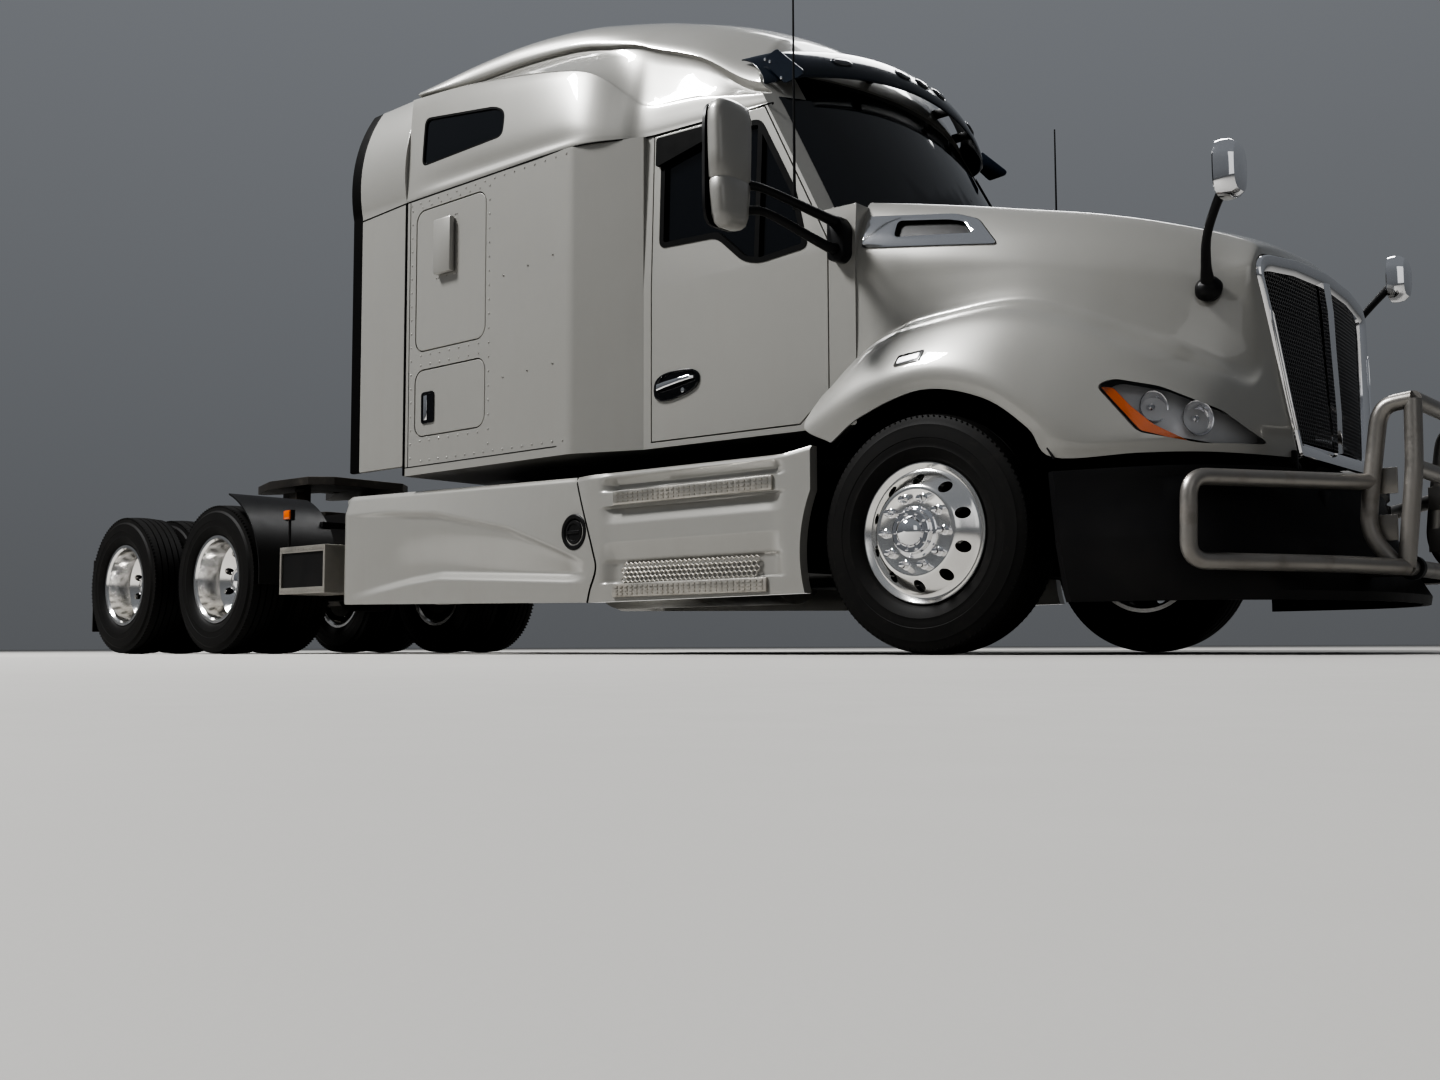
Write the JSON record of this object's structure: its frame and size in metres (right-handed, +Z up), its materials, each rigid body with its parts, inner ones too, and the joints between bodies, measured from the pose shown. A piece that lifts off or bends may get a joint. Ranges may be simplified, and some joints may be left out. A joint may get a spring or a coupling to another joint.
{
  "type": "semi truck tractor unit",
  "caption": "Long-nose truck tractor with a raised-roof sleeper, tilting hood, folding front guard, steered front axle, twin drive wheels and a tilting fifth wheel.",
  "frame": {"origin": "on the ground under the middle of the vehicle", "axes": "+X points forward, +Y to the left, +Z up"},
  "size_m": [9.29, 3.36, 3.6499],
  "materials": {
    "body_paint": "warm silver grey metallic paint, glossy",
    "chassis_black": "black chassis paint, dusty",
    "cast_steel": "black painted forged and cast steel",
    "engine_grey": "grey engine castings",
    "radiator_black": "dark finned core",
    "tank_aluminium": "polished aluminium tank",
    "black_plastic": "matt black moulding",
    "dark_glass": "tinted glass",
    "dash_plastic": "dark interior moulding",
    "seat_fabric": "dark woven seat fabric",
    "visor_plastic": "dark smoke blue gloss visor",
    "edge_rubber": "black rubber edge",
    "mirror_paint": "body colour mirror shell on black arms",
    "bumper_plastic": "matt dark grey moulding",
    "tread_aluminium": "patterned aluminium tread",
    "tyre_rubber": "black tyre rubber",
    "rim_aluminium": "polished aluminium",
    "bright_chrome": "bright chrome",
    "mesh_black": "dark diamond mesh",
    "lamp_glass": "clear headlamp lens",
    "guard_tube": "brushed steel tube, dusty",
    "plate_steel": "greased cast plate"
  },
  "bodies": {
    "root": {"frame_rails": "chassis_black", "suspension": "cast_steel", "front_axle": "cast_steel", "drive_axles": "cast_steel", "engine_block": "engine_grey", "driveline": "cast_steel", "radiator": "radiator_black", "fuel_tanks": "tank_aluminium", "side_boxes": "black_plastic", "cab_shell": "body_paint", "roof_cap": "body_paint", "sleeper_shell": "body_paint", "cab_glass": "dark_glass", "dash": "dash_plastic", "seats_and_bunk": "seat_fabric", "sun_visor": "visor_plastic", "side_extenders": "body_paint", "extender_edges": "edge_rubber", "cab_mirrors": "mirror_paint", "bumper": "bumper_plastic", "side_skirts": "body_paint", "step_treads": "tread_aluminium", "deck_and_steps": "tread_aluminium", "quarter_fenders": "black_plastic", "tail_bar": "chassis_black", "fifth_wheel_base": "cast_steel"},
    "hood": {"hood_shell": "body_paint", "grille_surround": "bright_chrome", "grille_mesh": "mesh_black", "headlamps": "lamp_glass", "vent_bezels": "bright_chrome", "hood_mirrors": "black_plastic"},
    "guard": {"front_guard": "guard_tube"},
    "fifth_wheel": {"fifth_wheel_plate": "plate_steel"},
    "tie_rod": {"tie_rod": "cast_steel"},
    "knuckle_left": {"knuckle_left": "cast_steel"},
    "steer_wheel_left": {"tyre_steer_left": "tyre_rubber", "rim_steer_left": "rim_aluminium"},
    "door_left": {"cab_door_left": "body_paint", "door_glass_left": "dark_glass"},
    "upper_hatch_left": {"upper_hatch_left": "body_paint"},
    "baggage_door_left": {"baggage_door_left": "body_paint"},
    "front_drive_wheel_left": {"tyres_front_drive_left": "tyre_rubber", "rims_front_drive_left": "rim_aluminium"},
    "rear_drive_wheel_left": {"tyres_rear_drive_left": "tyre_rubber", "rims_rear_drive_left": "rim_aluminium"},
    "knuckle_right": {"knuckle_right": "cast_steel"},
    "steer_wheel_right": {"tyre_steer_right": "tyre_rubber", "rim_steer_right": "rim_aluminium"},
    "door_right": {"cab_door_right": "body_paint", "door_glass_right": "dark_glass"},
    "upper_hatch_right": {"upper_hatch_right": "body_paint"},
    "baggage_door_right": {"baggage_door_right": "body_paint"},
    "front_drive_wheel_right": {"tyres_front_drive_right": "tyre_rubber", "rims_front_drive_right": "rim_aluminium"},
    "rear_drive_wheel_right": {"tyres_rear_drive_right": "tyre_rubber", "rims_rear_drive_right": "rim_aluminium"}
  },
  "joints": [
    {"name": "steer_left", "type": "hinge", "parent": "root", "child": "knuckle_left", "pos_m": [2.895, 0.86, 0.507], "axis": [0, 0, 1], "range_deg": [-38, 38]},
    {"name": "steer_right", "type": "hinge", "parent": "root", "child": "knuckle_right", "pos_m": [2.895, -0.86, 0.507], "axis": [0, 0, 1], "range_deg": [-38, 38]},
    {"name": "tie_rod_turn", "type": "hinge", "parent": "knuckle_left", "child": "tie_rod", "pos_m": [2.715, 0.86, 0.386], "axis": [0, 0, 1], "range_deg": [-38, 38]},
    {"name": "spin_steer_left", "type": "hinge", "parent": "knuckle_left", "child": "steer_wheel_left", "pos_m": [2.895, 1.055, 0.507], "axis": [0, 1, 0], "continuous": true},
    {"name": "spin_steer_right", "type": "hinge", "parent": "knuckle_right", "child": "steer_wheel_right", "pos_m": [2.895, -1.055, 0.507], "axis": [0, 1, 0], "continuous": true},
    {"name": "spin_front_drive_left", "type": "hinge", "parent": "root", "child": "front_drive_wheel_left", "pos_m": [-2.745, 0.92, 0.507], "axis": [0, 1, 0], "continuous": true},
    {"name": "spin_front_drive_right", "type": "hinge", "parent": "root", "child": "front_drive_wheel_right", "pos_m": [-2.745, -0.92, 0.507], "axis": [0, 1, 0], "continuous": true},
    {"name": "spin_rear_drive_left", "type": "hinge", "parent": "root", "child": "rear_drive_wheel_left", "pos_m": [-4.065, 0.92, 0.507], "axis": [0, 1, 0], "continuous": true},
    {"name": "spin_rear_drive_right", "type": "hinge", "parent": "root", "child": "rear_drive_wheel_right", "pos_m": [-4.065, -0.92, 0.507], "axis": [0, 1, 0], "continuous": true},
    {"name": "open_door_left", "type": "hinge", "parent": "root", "child": "door_left", "pos_m": [2.298, 1.0115, 1.5], "axis": [0, 0, -1], "range_deg": [0, 60]},
    {"name": "open_upper_hatch_left", "type": "hinge", "parent": "root", "child": "upper_hatch_left", "pos_m": [0.103, 1.2205, 2.15], "axis": [0, 0, -1], "range_deg": [0, 85]},
    {"name": "open_baggage_door_left", "type": "hinge", "parent": "root", "child": "baggage_door_left", "pos_m": [0.103, 1.2205, 1.44], "axis": [0, 0, -1], "range_deg": [0, 85]},
    {"name": "open_door_right", "type": "hinge", "parent": "root", "child": "door_right", "pos_m": [2.298, -1.0115, 1.5], "axis": [0, 0, 1], "range_deg": [0, 60]},
    {"name": "open_upper_hatch_right", "type": "hinge", "parent": "root", "child": "upper_hatch_right", "pos_m": [0.103, -1.2205, 2.15], "axis": [0, 0, 1], "range_deg": [0, 85]},
    {"name": "open_baggage_door_right", "type": "hinge", "parent": "root", "child": "baggage_door_right", "pos_m": [0.103, -1.2205, 1.44], "axis": [0, 0, 1], "range_deg": [0, 85]},
    {"name": "hood_tilt", "type": "hinge", "parent": "root", "child": "hood", "pos_m": [4.165, 0, 0.735], "axis": [0, 1, 0], "range_deg": [0, 65]},
    {"name": "guard_fold", "type": "hinge", "parent": "root", "child": "guard", "pos_m": [4.569, 0, 0.326], "axis": [0, 1, 0], "range_deg": [0, 78]},
    {"name": "fifth_wheel_tilt", "type": "hinge", "parent": "root", "child": "fifth_wheel", "pos_m": [-3.155, 0, 1.15], "axis": [0, 1, 0], "range_deg": [-12, 12]}
  ],
  "couplings": [
    {"joint": "steer_right", "follows": "steer_left", "ratio": 1},
    {"joint": "tie_rod_turn", "follows": "steer_left", "ratio": -1},
    {"joint": "guard_fold", "follows": "hood_tilt", "ratio": 1.2}
  ]
}
